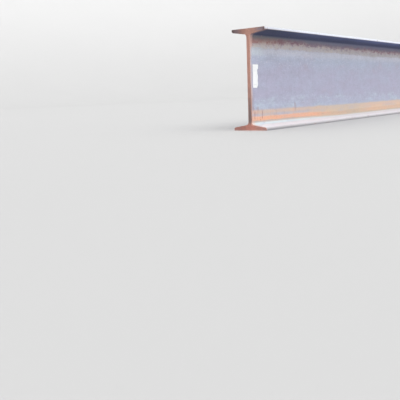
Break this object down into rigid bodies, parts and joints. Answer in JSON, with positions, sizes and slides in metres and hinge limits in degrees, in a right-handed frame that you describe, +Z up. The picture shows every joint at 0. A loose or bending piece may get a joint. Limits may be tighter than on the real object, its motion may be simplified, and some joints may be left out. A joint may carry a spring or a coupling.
{
  "type": "steel i-beam",
  "caption": "Hot-rolled steel I-beam with tapered flanges and a paper stock label on its web, a straight bar for carrying loads in building frames.",
  "frame": {"origin": "under the middle of the beam, in the plane of the lower flange's outer face, on which it lies", "axes": "+X along the beam, from the end with the label to the far end; +Y across the flanges; +Z up, from the lower flange to the upper one"},
  "size_m": [6, 0.14, 0.36],
  "materials": {
    "rolled_steel": "blue-grey mill scale with orange rust along the roots, the flange edges and the sawn ends",
    "label_paper": "matt white paper sticker, blank"
  },
  "bodies": {
    "root": {"i_beam": "rolled_steel", "mill_label": "label_paper"}
  },
  "joints": []
}
